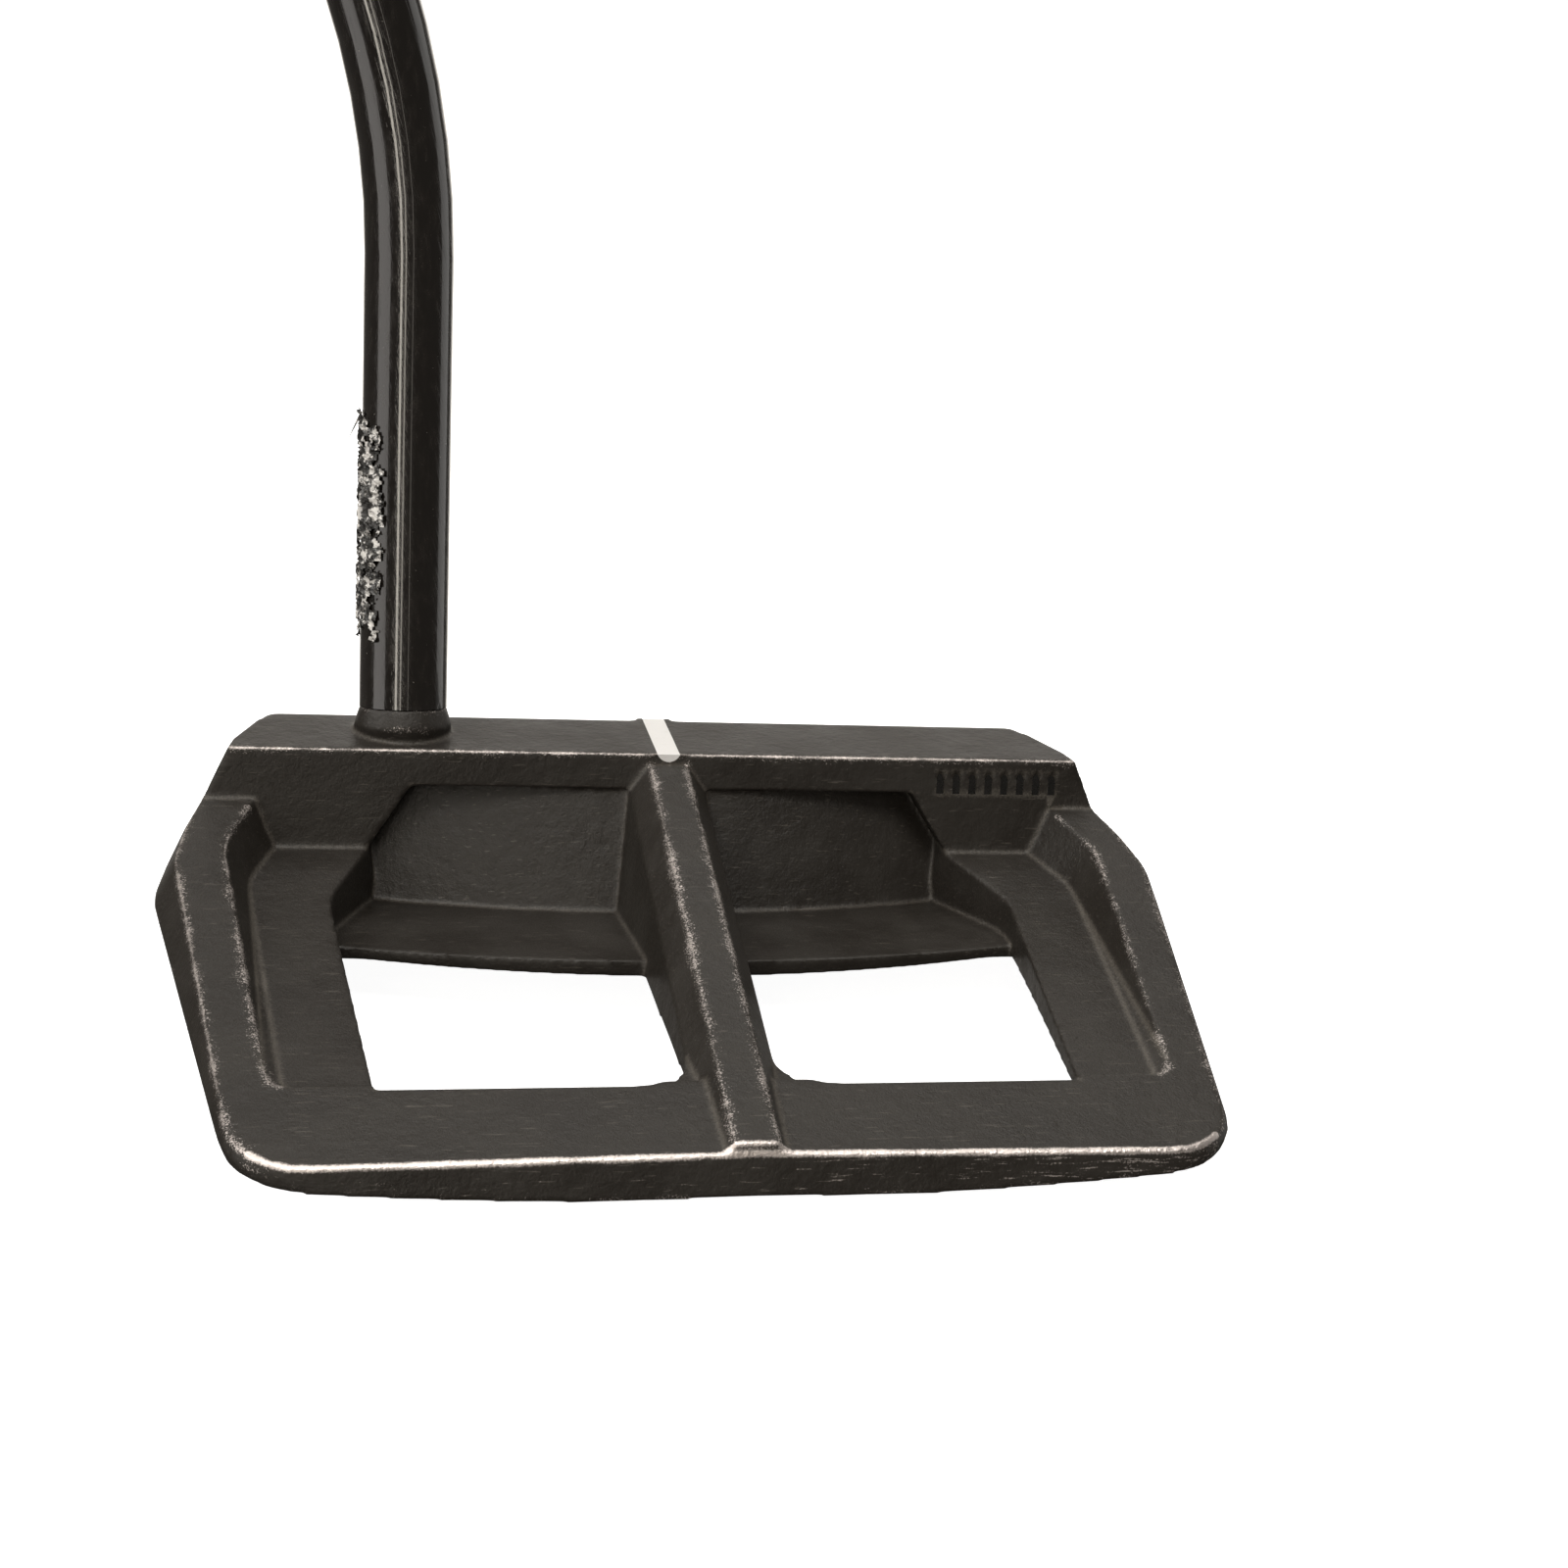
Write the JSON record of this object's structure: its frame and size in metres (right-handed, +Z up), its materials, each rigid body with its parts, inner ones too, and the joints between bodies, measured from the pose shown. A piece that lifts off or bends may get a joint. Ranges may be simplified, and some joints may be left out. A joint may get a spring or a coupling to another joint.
{
  "type": "mallet putter",
  "caption": "Mallet putter with an open frame head, a raised rib and sight line, a bent black shaft and a pistol grip.",
  "frame": {"origin": "on the flat of the sole, in the middle of the head, below the rear edge of the top line", "axes": "+X towards the toe, +Y towards the target through the face, +Z up; the club stands at address"},
  "size_m": [0.3595, 0.0937, 0.816],
  "materials": {
    "head": "satin black finish on cast steel, worn on the edges",
    "face_metal": "copper-toned, horizontally milled",
    "face_polymer": "soft polymer",
    "white_paint": "white paint fill",
    "black_paint": "black paint fill",
    "epoxy": "cured epoxy",
    "shaft_steel": "glossy black coated steel",
    "label_film": "torn clear label film",
    "tape": "double-sided paper tape",
    "grip_foam": "foam rubber",
    "grip_rubber": "textured polyurethane"
  },
  "bodies": {
    "root": {"head_body": "head", "face_cap": "face_metal", "face_backing": "face_polymer", "sight_line_paint": "white_paint", "mark_paint": "black_paint", "hosel_epoxy": "epoxy", "shaft": "shaft_steel", "shaft_label_film": "label_film", "grip_tape": "tape", "grip_core": "grip_foam", "grip_skin": "grip_rubber", "grip_mouth_ring": "grip_rubber", "grip_cap": "grip_rubber"}
  },
  "joints": []
}
